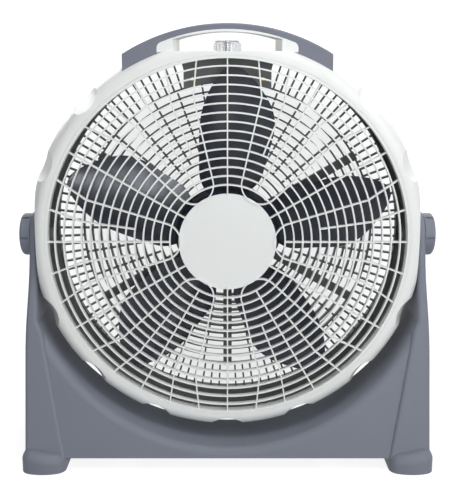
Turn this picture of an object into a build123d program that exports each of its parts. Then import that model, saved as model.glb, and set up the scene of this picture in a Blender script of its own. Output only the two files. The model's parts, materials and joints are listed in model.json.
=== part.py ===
from build123d import *
import os
from math import acos, atan2, cos, degrees, hypot, radians, sin, sqrt, tan

# A round-drum floor fan that tilts between the arms of a U-shaped stand.
# X runs to the right, the front looks along -Y, Z is up, and the origin is on the floor below the pivot.
os.makedirs("parts", exist_ok=True)

# Driving dimensions in millimetres: the drum across
OPENING_RADIUS = 250
RIM_WIDTH = 4
BEZEL_BREADTH = 29
FLAT_DEPTH = 11.5
PLATFORM_DEPTH = 20
JOINT_STEP = 1.5
SHOULDER_STEP = 4
REAR_LEDGE = 8
WALL = 2.5

# The drum from front to back, with the pivot axis at depth zero
PIVOT_INSET = 16
SKIRT_LENGTH = 11
SWELL_DEPTH = 35
SWELL_ROUND = 16
GRILLE_SETBACK = 2
BAR_DEPTH = 7
NUT_GAP = 3
NUT_LENGTH = 8
HUB_LENGTH = 40
HUB_BOSS_LENGTH = 28
MOTOR_GAP = 6
MOTOR_LENGTH = 54
REAR_WEB_DEPTH = 8
REAR_FLANGE = 3
SHOULDER_LENGTH = 26

# Front grille
BAR_WIDTH = 2.1
SPOKE_WIDTH = 1.8
RING_FIRST = 80.3
RING_PITCH = 12.3
RIM_FLANGE = 2.5
HUB_DISC_RADIUS = 68
HUB_DISC_THICKNESS = 3
HUB_DISC_SETBACK = 1.5
SECTORS = 6
SPOKE_OVERLAP = 5
LOOP_ANGLE = 16.9
LOOP_RIM_ANGLE = 20.5
LOOP_REACH = 92
SHORT_ANGLE = 8.1
SHORT_RIM_ANGLE = 10.6
SHORT_RINGS = 4
BEND_RINGS = 10

# Bezel
LIP_WIDTH = 3
LIP_DEPTH = 12
SCOOP_RADIUS = 45
SCOOP_DEPTH = 3.2
SCOOP_SLOPE = 23
SCOOP_STEP = 22.5
SCOOPS_BELOW = 7
SCOOPS_BESIDE = 2
FIT = 0.2

# Handle
HANDLE_DEPTH = 34
HANDLE_BACK_GAP = 2
GAP_HALF_WIDTH = 65.7
GAP_FLARE = 7.5
GAP_SIDE_HEIGHT = 15.7
GAP_MID_HEIGHT = 25.6
FRAME_POST = 29
FRAME_BAND = 3.3
FRAME_SHOULDER = 9.6
FRAME_CORNER = 9
COVER_HALF_WIDTH = 141.5
COVER_END_DROP = 3.4
COVER_THICKNESS = 7.8
COVER_ROUND = 3

# Rear grille
REAR_FLARE = 7
REAR_BAR = 2.4
BAND_WIDTH = 40
BAND_BARS = 120
REAR_RING_PITCH = 12.4
REAR_RAYS = 36
RAY_INNER_RING = 9
ARM_WIDTH = 13
MOTOR_PLATE_RADIUS = 70
PLATE_HALF_ANGLE = 15.3

# Motor
MOTOR_RADIUS = 52
MOTOR_WALL = 2.2
BEARING_RADIUS = 9
BEARING_LENGTH = 12
BEARING_SEAT = 3
SHAFT_RADIUS = 5
SHAFT_FLAT = 1
RUNNING = 0.05
STATOR_BORE = 25.6
STATOR_LENGTH = 24
STATOR_SLOTS = 12
SLOT_WIDTH = 5
SLOT_DEPTH = 11
WINDING_WIDTH = 15
WINDING_HEIGHT = 8
AIR_GAP = 0.5
ROTOR_OVERHANG = 1
MOTOR_SCREW_CIRCLE = 38
MOTOR_SCREWS = 4

# Rotor
BLADES = 5
BLADE_TURN = 88.1
ROOT_SINK = 8
TIP_GAP = 10
HUB_RADIUS = 70
HUB_WALL = 3
HUB_BOSS_RADIUS = 12
BLADE_THICKNESS = 2.8
BLADE_EDGE = 1.2
BLADE_CAMBER = 0.07
NUT_RADIUS = 16
NUT_FLUTES = 6

# Controls
KNOB_RADIUS = 20
KNOB_HEIGHT = 15.5
KNOB_LIFT = 0.5
KNOB_LOBES = 16
LOBE_RADIUS = 3
SPINDLE_RADIUS = 3
SWITCH_SIZE = 20
SWITCH_GAP = 2
SWITCH_HEIGHT = 17
SWITCH_NECK = 5.5
CONTROL_HALF_WIDTH = 62
CONTROL_DEPTH = 42
CONTROL_WALL = 2
CONTROL_SCREW_INSET = 12
CONTROL_SCREW_RISE = 5
CAPACITOR_LENGTH = 32
CAPACITOR_DEPTH = 20
CAPACITOR_HEIGHT = 24
GLAND_RADIUS = 7
GLAND_FLANGE = 11
GLAND_BORE = 3.5
GLAND_ANGLE = 9.4

# Pivots
BOLT_RADIUS = 5
INSERT_RADIUS = 8
INSERT_LENGTH = 10
BOSS_WALL = 5
WASHER_RADIUS = 20
WASHER_THICKNESS = 2.2
RUN_CLEARANCE = 0.4
BUSH_RADIUS = 9
BUSH_BOSS_WALL = 4
TILT_KNOB_RADIUS = 30.5
TILT_KNOB_THICKNESS = 15.3
TILT_KNOB_ROUND = 5
TILT_KNOB_SLOTS = 6
TILT_KNOB_SLOT = 3
TILT_KNOB_CAP = 4

# Stand
CRADLE_GAP = 15
CRADLE_FLOOR = 31
CRADLE_BACK_Y = 8
RIDGE_ROUND = 12
ARM_THICKNESS = 11.9
ARM_SPLAY = 6
SPLAY_START = 47
SPLAY_END = 135
SPLAY_ROUND = 900
ARM_END_RADIUS = 35
ARM_REACH = 100
ARM_FLOOR = 18
ARM_ROUND = 5.5
COLUMN_WIDTH = 58
CREASE_DROP = 130
APRON_SETBACK = 4
STAND_WALL = 3
RIBS = 4
RIB_PITCH = 95
FOOT_LENGTH = 226
FOOT_LIP = 4
FOOT_HEIGHT = 36
FOOT_FALL = 12
FOOT_ROUND = 14
FOOT_CORNER = 16
TOE_BOW = 8
PAD_PROUD = 1
PAD_THICKNESS = 3
PAD_LENGTH = 40
PAD_WIDTH = 26
PAD_INSET = 32
FOOT_SCREW_SPREAD = 50

# Screws
SCREW_RADIUS = 1.8
SCREW_HEAD = 3.6
SCREW_HEAD_HEIGHT = 2.2
SCREW_LENGTH = 12
SCREW_BOSS = 4.5
BEZEL_SCREW_INSET = 13
THREAD_CLEARANCE = 0.1

# Sizes that follow from the driving ones
RIM_RADIUS = OPENING_RADIUS + RIM_WIDTH
BORE_RADIUS = RIM_RADIUS + FIT
LIP_RADIUS = BORE_RADIUS + LIP_WIDTH
DRUM_RADIUS = OPENING_RADIUS + BEZEL_BREADTH
JOINT_RADIUS = DRUM_RADIUS - JOINT_STEP
SHOULDER_RADIUS = DRUM_RADIUS - SHOULDER_STEP
REAR_GRILLE_RADIUS = OPENING_RADIUS + REAR_FLARE
REAR_OPENING = REAR_GRILLE_RADIUS + FIT
REAR_FACE_RADIUS = REAR_OPENING + REAR_LEDGE
SIDE_FLAT = DRUM_RADIUS - FLAT_DEPTH
PLATFORM_RISE = DRUM_RADIUS - PLATFORM_DEPTH
CRADLE_RADIUS = DRUM_RADIUS + CRADLE_GAP
AXIS_HEIGHT = CRADLE_RADIUS + CRADLE_FLOOR

JOINT_Y = -PIVOT_INSET
WIDEST_Y = JOINT_Y - SKIRT_LENGTH
BEZEL_FRONT_Y = WIDEST_Y - SWELL_DEPTH
GRILLE_FRONT_Y = BEZEL_FRONT_Y + GRILLE_SETBACK
GRILLE_BACK_Y = GRILLE_FRONT_Y + BAR_DEPTH
NUT_FRONT_Y = GRILLE_BACK_Y + NUT_GAP
HUB_FRONT_Y = NUT_FRONT_Y + NUT_LENGTH
HUB_BACK_Y = HUB_FRONT_Y + HUB_LENGTH
MOTOR_FRONT_Y = HUB_FRONT_Y + HUB_BOSS_LENGTH + MOTOR_GAP
MOTOR_BACK_Y = MOTOR_FRONT_Y + MOTOR_LENGTH
MOTOR_MID_Y = (MOTOR_FRONT_Y + MOTOR_BACK_Y) / 2
HOUSING_BACK_Y = MOTOR_BACK_Y + REAR_WEB_DEPTH
SHOULDER_Y = HOUSING_BACK_Y - SHOULDER_LENGTH
HANDLE_BACK_Y = JOINT_Y - HANDLE_BACK_GAP
CONTROL_FRONT_Y = MOTOR_BACK_Y - CONTROL_DEPTH
KNOB_Y = CONTROL_FRONT_Y + CONTROL_WALL + SWITCH_GAP + SWITCH_SIZE / 2

ARM_INNER = SIDE_FLAT + WASHER_THICKNESS + RUN_CLEARANCE
ARM_SIDE = ARM_INNER + ARM_THICKNESS
ARM_OUTER = ARM_SIDE + ARM_SPLAY
TILT_KNOB_BASE = ARM_SIDE + RUN_CLEARANCE
COLUMN_INNER = ARM_OUTER - COLUMN_WIDTH
ARM_DROP = AXIS_HEIGHT - ARM_FLOOR
CREASE_X = sqrt(CRADLE_RADIUS**2 - CREASE_DROP**2)
FRONT_TILT = degrees(acos(ARM_END_RADIUS / hypot(ARM_REACH, ARM_DROP)) - atan2(ARM_DROP, ARM_REACH))
FOOT_BOTTOM = PAD_PROUD
BLADE_TIP = OPENING_RADIUS - TIP_GAP
CONTROL_TOP = PLATFORM_RISE - WALL
BAND_INNER = REAR_GRILLE_RADIUS - BAND_WIDTH

RING_COUNT = int((OPENING_RADIUS - RING_PITCH / 2 - RING_FIRST) / RING_PITCH) + 1
RING_RADII = [RING_FIRST + RING_PITCH * number for number in range(RING_COUNT)]
REAR_RING_COUNT = int((BAND_INNER - MOTOR_PLATE_RADIUS - REAR_RING_PITCH / 2) / REAR_RING_PITCH)
REAR_RINGS = [BAND_INNER - REAR_RING_PITCH * number for number in range(REAR_RING_COUNT + 1)]
SCOOP_ANGLES = [270 + SCOOP_STEP * (number - SCOOPS_BELOW // 2) for number in range(SCOOPS_BELOW)]
SCOOP_ANGLES += [SCOOP_STEP * (number + 1) for number in range(SCOOPS_BESIDE)]
SCOOP_ANGLES += [180 - SCOOP_STEP * (number + 1) for number in range(SCOOPS_BESIDE)]
BEZEL_SCREW_ANGLES = [SCOOP_STEP * half for half in (1.5, 6.5, 9.5, 11.5, 12.5, 14.5)]
BEZEL_SCREW_CIRCLE = DRUM_RADIUS - BEZEL_SCREW_INSET
REAR_SCREW_ANGLES = [360 / SECTORS * number for number in range(SECTORS)]
REAR_SCREW_CIRCLE = REAR_OPENING + REAR_LEDGE / 2
CONTROL_SCREW_X = CONTROL_HALF_WIDTH - CONTROL_SCREW_INSET
CONTROL_SCREW_Z = BAND_INNER + CONTROL_SCREW_RISE
KNOB_BOTTOM = PLATFORM_RISE + KNOB_LIFT

# Working planes and axes
RADIAL = Plane(origin=(0, 0, AXIS_HEIGHT), x_dir=(1, 0, 0), z_dir=(0, 0, 1))
SIDEWAYS = Plane(origin=(0, 0, AXIS_HEIGHT), x_dir=(0, 1, 0), z_dir=(1, 0, 0))
DRUM_AXIS = Axis((0, 0, AXIS_HEIGHT), (0, 1, 0))
FACE_AXIS = Axis((0, 0, AXIS_HEIGHT), (0, -1, 0))
FAR = 400


def facing(y):
    """Plane across the drum axis at depth y: x to the right, y up from the axis, normal out of the front."""
    return Plane(origin=(0, y, AXIS_HEIGHT), x_dir=(1, 0, 0), z_dir=(0, -1, 0))


def backing(y, radius, angle):
    """Plane at depth y, off the drum axis, whose normal points out of the back."""
    x, z = polar(radius, angle)
    return Plane(origin=(x, y, AXIS_HEIGHT + z), x_dir=(-1, 0, 0), z_dir=(0, 1, 0))


def outward(x):
    """Plane on the pivot axis whose normal points to the right."""
    return Plane(origin=(x, 0, AXIS_HEIGHT), x_dir=(0, 1, 0), z_dir=(1, 0, 0))


def polar(radius, angle):
    return radius * cos(radians(angle)), radius * sin(radians(angle))


def trim_flats(grow):
    """Cuts the drum's pivot flats and its top platform, moved outward by grow."""
    side = SIDE_FLAT + grow
    split(bisect_by=Plane(origin=(side, 0, 0), z_dir=(1, 0, 0)), keep=Keep.BOTTOM)
    split(bisect_by=Plane(origin=(-side, 0, 0), z_dir=(-1, 0, 0)), keep=Keep.BOTTOM)
    top = AXIS_HEIGHT + PLATFORM_RISE + grow
    split(bisect_by=Plane(origin=(0, 0, top), z_dir=(0, 0, 1)), keep=Keep.BOTTOM)


def screw(head, height, shank, length):
    """A pan-head screw seated on its own XY plane, with the shank below."""
    with BuildPart() as one:
        Cylinder(head, height, align=(Align.CENTER, Align.CENTER, Align.MIN))
        Cylinder(shank, length, align=(Align.CENTER, Align.CENTER, Align.MAX))
    return one.part


# Front grille: rings, looped and straight spokes, hub disc and rim in one moulding
def spoke_sector():
    """The spokes of one sixth of the grille, about the sketch's X direction."""
    rim = OPENING_RADIUS + RIM_WIDTH / 4
    bend = RING_RADII[min(BEND_RINGS, RING_COUNT - 1)]
    start = RING_RADII[min(SHORT_RINGS, RING_COUNT - 1)]
    foot = LOOP_REACH * cos(radians(LOOP_ANGLE))
    low = LOOP_REACH * (1 - sin(radians(LOOP_ANGLE)))
    edge_angle = 180 / SECTORS
    with BuildSketch() as sector:
        with BuildLine():
            Line(polar(HUB_DISC_RADIUS - SPOKE_OVERLAP, edge_angle), polar(rim, edge_angle))
        trace(line_width=SPOKE_WIDTH)
        with BuildLine():
            Line((RING_FIRST, 0), (rim, 0))
        trace(line_width=SPOKE_WIDTH)
        for side in (1, -1):
            with BuildLine():
                Polyline(
                    polar(start, side * SHORT_ANGLE),
                    polar(bend, side * SHORT_ANGLE),
                    polar(rim, side * SHORT_RIM_ANGLE),
                )
            trace(line_width=SPOKE_WIDTH)
            with BuildLine():
                Polyline(
                    polar(foot, side * LOOP_ANGLE),
                    polar(bend, side * LOOP_ANGLE),
                    polar(rim, side * LOOP_RIM_ANGLE),
                )
            trace(line_width=SPOKE_WIDTH)
        with BuildLine():
            ThreePointArc(polar(foot, LOOP_ANGLE), (low, 0), polar(foot, -LOOP_ANGLE))
        trace(line_width=SPOKE_WIDTH)
    return sector.sketch


with BuildPart() as front_grille:
    with BuildSketch(facing(GRILLE_FRONT_Y + HUB_DISC_SETBACK + HUB_DISC_THICKNESS)):
        Circle(HUB_DISC_RADIUS)
    extrude(amount=HUB_DISC_THICKNESS)
    with BuildSketch(facing(BEZEL_FRONT_Y + LIP_DEPTH)):
        Circle(RIM_RADIUS)
        Circle(OPENING_RADIUS, mode=Mode.SUBTRACT)
    extrude(amount=LIP_DEPTH)
    with BuildSketch(facing(BEZEL_FRONT_Y + LIP_DEPTH + RIM_FLANGE)):
        Circle(BORE_RADIUS + WALL)
        Circle(OPENING_RADIUS, mode=Mode.SUBTRACT)
    extrude(amount=RIM_FLANGE)
    with BuildSketch(facing(GRILLE_BACK_Y)):
        for ring in reversed(RING_RADII):
            Circle(ring + BAR_WIDTH / 2)
            Circle(ring - BAR_WIDTH / 2, mode=Mode.SUBTRACT)
        with PolarLocations(0, SECTORS):
            add(spoke_sector())
    extrude(amount=BAR_DEPTH, clean=False)
front_grille.part.label = "front_grille"
export_step(front_grille.part, "parts/front_grille.step")


# Front bezel: swelling ring with scoops in its flank, and the white frame of the handle
def scoop_plane(angle):
    """Plane along a scoop's axis, which climbs outward as it runs back."""
    rise, run = sin(radians(SCOOP_SLOPE)), cos(radians(SCOOP_SLOPE))
    x, z = polar(1, angle)
    away = Vector(x, 0, z)
    back = Vector(0, 1, 0)
    bottom = Vector(0, WIDEST_Y, AXIS_HEIGHT) + away * (DRUM_RADIUS - SCOOP_DEPTH)
    return Plane(origin=bottom + (away * run - back * rise) * SCOOP_RADIUS, z_dir=away * rise + back * run)


def bezel_form(grow, inner_radius):
    """The bezel's skin as a solid ring, moved outward by grow: a tight arc runs into a wide one."""
    across, along = DRUM_RADIUS - LIP_RADIUS, SWELL_DEPTH - SWELL_ROUND
    wide_round = (across**2 + along**2 - SWELL_ROUND**2) / (2 * (across - SWELL_ROUND))
    turn = degrees(atan2(wide_round - across, along))
    with BuildPart() as form:
        with BuildSketch(RADIAL):
            with BuildLine():
                nose = CenterArc((LIP_RADIUS, BEZEL_FRONT_Y + SWELL_ROUND), SWELL_ROUND + grow, 270, turn)
                middle = (DRUM_RADIUS - wide_round, WIDEST_Y)
                flank = CenterArc(middle, wide_round + grow, 270 + turn, 90 - turn)
                skirt = Line(flank @ 1, (JOINT_RADIUS + grow, JOINT_Y))
                lip_y = BEZEL_FRONT_Y - grow
                Polyline(skirt @ 1, (inner_radius, JOINT_Y), (inner_radius, lip_y), nose @ 0)
            make_face()
        revolve(axis=DRUM_AXIS)
        trim_flats(grow)
        with Locations(*[scoop_plane(angle) for angle in SCOOP_ANGLES]):
            Cylinder(SCOOP_RADIUS - grow, 2 * SWELL_DEPTH + 2 * SCOOP_RADIUS, mode=Mode.SUBTRACT)
    return form.part


def frame_outline():
    """The handle frame seen from the front, filled in."""
    half = GAP_HALF_WIDTH + FRAME_POST
    shoulder = PLATFORM_RISE + FRAME_SHOULDER
    top = PLATFORM_RISE + GAP_MID_HEIGHT + FRAME_BAND
    foot = PLATFORM_RISE - WALL / 2
    with BuildSketch() as outline:
        with BuildLine():
            crown = ThreePointArc((-half, shoulder), (0, top), (half, shoulder))
            Polyline(crown @ 1, (half, foot), (-half, foot), crown @ 0)
        make_face()
        fillet(outline.vertices().group_by(Axis.Y)[-1], FRAME_CORNER)
    return outline.sketch


def gap_outline(half):
    """The finger gap under the handle frame, half to each side."""
    side = PLATFORM_RISE + GAP_SIDE_HEIGHT
    with BuildSketch() as outline:
        with BuildLine():
            brow = ThreePointArc((-half, side), (0, PLATFORM_RISE + GAP_MID_HEIGHT), (half, side))
            Polyline(brow @ 1, (half, PLATFORM_RISE), (-half, PLATFORM_RISE), brow @ 0)
        make_face()
    return outline.sketch


with BuildPart() as handle_gap:
    with BuildSketch(facing(HANDLE_BACK_Y)):
        add(gap_outline(GAP_HALF_WIDTH))
    with BuildSketch(facing(HANDLE_BACK_Y - HANDLE_DEPTH)):
        add(gap_outline(GAP_HALF_WIDTH + GAP_FLARE))
    loft()

with BuildPart() as bezel_hollow:
    with BuildSketch(RADIAL):
        with BuildLine():
            inner = BORE_RADIUS + WALL
            below_scoops = DRUM_RADIUS - SCOOP_DEPTH - WALL
            front_y = BEZEL_FRONT_Y + 2 * WALL
            front_radius = below_scoops - (WIDEST_Y - front_y) * tan(radians(SCOOP_SLOPE))
            Polyline(
                (inner, JOINT_Y),
                (JOINT_RADIUS - WALL, JOINT_Y),
                (below_scoops, WIDEST_Y),
                (front_radius, front_y),
                (inner, front_y),
                close=True,
            )
        make_face()
    revolve(axis=DRUM_AXIS)
    trim_flats(-WALL)
    bezel_bosses = [backing(JOINT_Y, BEZEL_SCREW_CIRCLE, angle) for angle in BEZEL_SCREW_ANGLES]
    with Locations(*bezel_bosses):
        Cylinder(SCREW_BOSS, FAR, mode=Mode.SUBTRACT)

with BuildPart() as front_bezel:
    add(bezel_form(0, BORE_RADIUS))
    add(bezel_hollow.part, mode=Mode.SUBTRACT)
    with BuildSketch(facing(JOINT_Y)):
        Circle(BORE_RADIUS + WALL + FIT)
    extrude(amount=JOINT_Y - BEZEL_FRONT_Y - LIP_DEPTH, mode=Mode.SUBTRACT)
    with BuildSketch(facing(HANDLE_BACK_Y)):
        add(frame_outline())
    extrude(amount=HANDLE_DEPTH)
    add(handle_gap.part, mode=Mode.SUBTRACT)
    with Locations(*bezel_bosses):
        Cylinder(SCREW_RADIUS + THREAD_CLEARANCE, 2 * SCREW_LENGTH, mode=Mode.SUBTRACT)
front_bezel.part.label = "front_bezel"
export_step(front_bezel.part, "parts/front_bezel.step")

# Handle cover: grey arch over the white frame, with end blocks down to the bezel's flank
with BuildPart() as handle_cover:
    with BuildSketch(facing(HANDLE_BACK_Y)):
        with BuildLine():
            end = PLATFORM_RISE - COVER_END_DROP
            top = PLATFORM_RISE + GAP_MID_HEIGHT + FRAME_BAND + COVER_THICKNESS
            arch = ThreePointArc((-COVER_HALF_WIDTH, end), (0, top), (COVER_HALF_WIDTH, end))
            foot = sqrt(DRUM_RADIUS**2 - COVER_HALF_WIDTH**2) - PLATFORM_DEPTH / 2
            Polyline(arch @ 1, (COVER_HALF_WIDTH, foot), (-COVER_HALF_WIDTH, foot), arch @ 0)
        make_face()
    extrude(amount=HANDLE_DEPTH)
    fillet(handle_cover.edges().filter_by(GeomType.CIRCLE), COVER_ROUND)
    with BuildSketch(facing(HANDLE_BACK_Y + FIT)):
        add(frame_outline())
        with Locations((0, PLATFORM_RISE)):
            Rectangle(2 * (GAP_HALF_WIDTH + FRAME_POST), 2 * PLATFORM_DEPTH, align=(Align.CENTER, Align.MAX))
    extrude(amount=HANDLE_DEPTH + 2 * FIT, mode=Mode.SUBTRACT)
    add(bezel_form(FIT / 2, OPENING_RADIUS - WALL), mode=Mode.SUBTRACT)
handle_cover.part.label = "handle_cover"
export_step(handle_cover.part, "parts/handle_cover.step")


# Drum housing: the rear half of the drum, open towards the bezel
with BuildPart() as housing_form:
    with BuildSketch(RADIAL):
        with BuildLine():
            wall = Polyline((0, JOINT_Y), (JOINT_RADIUS, JOINT_Y), (SHOULDER_RADIUS, SHOULDER_Y))
            shoulder = TangentArc(wall @ 1, (REAR_FACE_RADIUS, HOUSING_BACK_Y), tangent=wall % 1)
            Polyline(shoulder @ 1, (0, HOUSING_BACK_Y), wall @ 0)
        make_face()
    revolve(axis=DRUM_AXIS)
    trim_flats(0)

pivot_boss = INSERT_RADIUS + BOSS_WALL
rear_bosses = [backing(HOUSING_BACK_Y, REAR_SCREW_CIRCLE, angle) for angle in REAR_SCREW_ANGLES]
tab_length = DRUM_RADIUS - BEZEL_SCREW_CIRCLE
tab_thickness = 2 * SCREW_RADIUS
with BuildPart() as housing_hollow:
    with BuildSketch(RADIAL):
        with BuildLine():
            Polyline(
                (0, JOINT_Y),
                (JOINT_RADIUS - WALL, JOINT_Y),
                (SHOULDER_RADIUS - WALL, SHOULDER_Y),
                (REAR_FACE_RADIUS - WALL, HOUSING_BACK_Y - WALL),
                (0, HOUSING_BACK_Y - WALL),
                close=True,
            )
        make_face()
    revolve(axis=DRUM_AXIS)
    trim_flats(-WALL)
    with Locations(outward(SIDE_FLAT), outward(-SIDE_FLAT)):
        Cylinder(pivot_boss, 2 * INSERT_LENGTH + 4 * WALL, mode=Mode.SUBTRACT)
    with Locations(*rear_bosses):
        Cylinder(SCREW_BOSS, 2 * SCREW_LENGTH, mode=Mode.SUBTRACT)
    for angle in BEZEL_SCREW_ANGLES:
        with Locations(facing(JOINT_Y + tab_thickness / 2)):
            with PolarLocations(BEZEL_SCREW_CIRCLE + tab_length / 2 - SCREW_BOSS, 1, start_angle=angle):
                Box(tab_length + SCREW_BOSS, 4 * SCREW_BOSS, tab_thickness, mode=Mode.SUBTRACT)

with BuildPart() as drum_housing:
    add(housing_form.part)
    add(housing_hollow.part, mode=Mode.SUBTRACT)
    with BuildSketch(facing(HOUSING_BACK_Y)):
        Circle(REAR_OPENING)
    extrude(amount=SHOULDER_LENGTH, mode=Mode.SUBTRACT)
    with Locations(outward(SIDE_FLAT), outward(-SIDE_FLAT)):
        Cylinder(INSERT_RADIUS, 2 * INSERT_LENGTH + 2 * WALL, mode=Mode.SUBTRACT)
    with Locations(*rear_bosses):
        Cylinder(SCREW_RADIUS + THREAD_CLEARANCE, 2 * SCREW_LENGTH - 2 * WALL, mode=Mode.SUBTRACT)
    with Locations(*bezel_bosses):
        Cylinder(SCREW_RADIUS + THREAD_CLEARANCE, 4 * tab_thickness, mode=Mode.SUBTRACT)
    with Locations((0, KNOB_Y, AXIS_HEIGHT + PLATFORM_RISE)):
        Cylinder(SWITCH_NECK + RUNNING, 4 * WALL, mode=Mode.SUBTRACT)
drum_housing.part.label = "drum_housing"
export_step(drum_housing.part, "parts/drum_housing.step")

# Rear grille: band of short bars, rings, rays, six arms, motor plate and a flange behind the housing
gland_spot = polar(BAND_INNER + BAND_WIDTH / 2, 90 + GLAND_ANGLE)
with BuildPart() as rear_grille:
    with BuildSketch(facing(HOUSING_BACK_Y + REAR_FLANGE)):
        Circle(REAR_FACE_RADIUS)
        Circle(REAR_GRILLE_RADIUS - REAR_BAR, mode=Mode.SUBTRACT)
        with PolarLocations(REAR_SCREW_CIRCLE, SECTORS):
            Circle(SCREW_RADIUS + THREAD_CLEARANCE, mode=Mode.SUBTRACT)
    extrude(amount=REAR_FLANGE)
    trim_flats(0)
    with BuildSketch(facing(HOUSING_BACK_Y)):
        Circle(REAR_GRILLE_RADIUS)
        Circle(REAR_GRILLE_RADIUS - REAR_BAR, mode=Mode.SUBTRACT)
        for ring in REAR_RINGS:
            Circle(ring + REAR_BAR / 2)
            Circle(ring - REAR_BAR / 2, mode=Mode.SUBTRACT)
        Circle(MOTOR_PLATE_RADIUS)
        with PolarLocations((BAND_INNER + REAR_GRILLE_RADIUS) / 2 - REAR_BAR / 2, BAND_BARS):
            Rectangle(BAND_WIDTH, REAR_BAR)
        ray_start = REAR_RINGS[min(RAY_INNER_RING, REAR_RING_COUNT)]
        with PolarLocations((ray_start + BAND_INNER) / 2, REAR_RAYS):
            Rectangle(BAND_INNER - ray_start, REAR_BAR)
        with PolarLocations((MOTOR_PLATE_RADIUS + BAND_INNER) / 2, SECTORS, start_angle=180 / SECTORS):
            Rectangle(BAND_INNER - MOTOR_PLATE_RADIUS + 2 * REAR_BAR, ARM_WIDTH)
        with BuildLine():
            plate_start = polar(BAND_INNER, 90 - PLATE_HALF_ANGLE)
            plate_end = polar(REAR_GRILLE_RADIUS - REAR_BAR / 2, 90 + PLATE_HALF_ANGLE)
            CenterArc((0, 0), BAND_INNER, 90 - PLATE_HALF_ANGLE, 2 * PLATE_HALF_ANGLE)
            Line(polar(BAND_INNER, 90 + PLATE_HALF_ANGLE), plate_end)
            CenterArc((0, 0), REAR_GRILLE_RADIUS - REAR_BAR / 2, 90 - PLATE_HALF_ANGLE, 2 * PLATE_HALF_ANGLE)
            Line(polar(REAR_GRILLE_RADIUS - REAR_BAR / 2, 90 - PLATE_HALF_ANGLE), plate_start)
        make_face()
        with Locations(gland_spot):
            Circle(GLAND_RADIUS + RUNNING, mode=Mode.SUBTRACT)
        with PolarLocations(MOTOR_SCREW_CIRCLE, MOTOR_SCREWS, start_angle=180 / MOTOR_SCREWS):
            Circle(SCREW_RADIUS + THREAD_CLEARANCE, mode=Mode.SUBTRACT)
    extrude(amount=REAR_WEB_DEPTH, clean=False)
rear_grille.part.label = "rear_grille"
export_step(rear_grille.part, "parts/rear_grille.step")

# Control box under the platform: closed below and open to the platform above
with BuildPart() as control_box:
    with BuildSketch(facing(MOTOR_BACK_Y)):
        with Locations((0, CONTROL_TOP)):
            Rectangle(2 * CONTROL_HALF_WIDTH, FAR, align=(Align.CENTER, Align.MAX))
        Circle(BAND_INNER, mode=Mode.SUBTRACT)
        with Locations((0, 0)):
            Rectangle(FAR, FAR, align=(Align.CENTER, Align.MAX), mode=Mode.SUBTRACT)
    extrude(amount=CONTROL_DEPTH)
    with BuildSketch(facing(MOTOR_BACK_Y - CONTROL_WALL)):
        with Locations((0, CONTROL_TOP)):
            Rectangle(2 * (CONTROL_HALF_WIDTH - CONTROL_WALL), FAR, align=(Align.CENTER, Align.MAX))
        Circle(BAND_INNER + CONTROL_WALL, mode=Mode.SUBTRACT)
        with Locations((0, 0)):
            Rectangle(FAR, FAR, align=(Align.CENTER, Align.MAX), mode=Mode.SUBTRACT)
        with Locations((CONTROL_SCREW_X, CONTROL_SCREW_Z), (-CONTROL_SCREW_X, CONTROL_SCREW_Z)):
            Circle(SCREW_BOSS, mode=Mode.SUBTRACT)
    extrude(amount=CONTROL_DEPTH - 2 * CONTROL_WALL, mode=Mode.SUBTRACT)
    with BuildSketch(facing(MOTOR_BACK_Y)):
        with Locations(gland_spot):
            Circle(GLAND_RADIUS + RUNNING)
    extrude(amount=2 * CONTROL_WALL, mode=Mode.SUBTRACT)
    with BuildSketch(facing(CONTROL_FRONT_Y + SCREW_LENGTH)):
        with Locations((CONTROL_SCREW_X, CONTROL_SCREW_Z), (-CONTROL_SCREW_X, CONTROL_SCREW_Z)):
            Circle(SCREW_RADIUS + THREAD_CLEARANCE)
    extrude(amount=SCREW_LENGTH, mode=Mode.SUBTRACT)
control_box.part.label = "control_box"
export_step(control_box.part, "parts/control_box.step")

with BuildPart() as control_box_screws:
    with Locations(
        Plane(origin=(CONTROL_SCREW_X, CONTROL_FRONT_Y, AXIS_HEIGHT + CONTROL_SCREW_Z), z_dir=(0, -1, 0)),
        Plane(origin=(-CONTROL_SCREW_X, CONTROL_FRONT_Y, AXIS_HEIGHT + CONTROL_SCREW_Z), z_dir=(0, -1, 0)),
    ):
        add(screw(SCREW_HEAD, SCREW_HEAD_HEIGHT, SCREW_RADIUS, SCREW_LENGTH - THREAD_CLEARANCE))
control_box_screws.part.label = "control_box_screws"
export_step(control_box_screws.part, "parts/control_box_screws.step")

# Rotary switch, hung from the platform by its neck
switch_top = AXIS_HEIGHT + CONTROL_TOP
spindle_bottom = switch_top - SWITCH_HEIGHT / 2
with BuildPart() as rotary_switch:
    with Locations((0, KNOB_Y, switch_top)):
        Box(SWITCH_SIZE, SWITCH_SIZE, SWITCH_HEIGHT, align=(Align.CENTER, Align.CENTER, Align.MAX))
    fillet(rotary_switch.edges().filter_by(Axis.Z), SWITCH_NECK / 2)
    with Locations((0, KNOB_Y, switch_top)):
        Cylinder(SWITCH_NECK, WALL, align=(Align.CENTER, Align.CENTER, Align.MIN))
    with Locations((0, KNOB_Y, spindle_bottom)):
        Cylinder(
            SPINDLE_RADIUS + RUNNING,
            FAR,
            align=(Align.CENTER, Align.CENTER, Align.MIN),
            mode=Mode.SUBTRACT,
        )
rotary_switch.part.label = "rotary_switch"
export_step(rotary_switch.part, "parts/rotary_switch.step")

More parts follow.
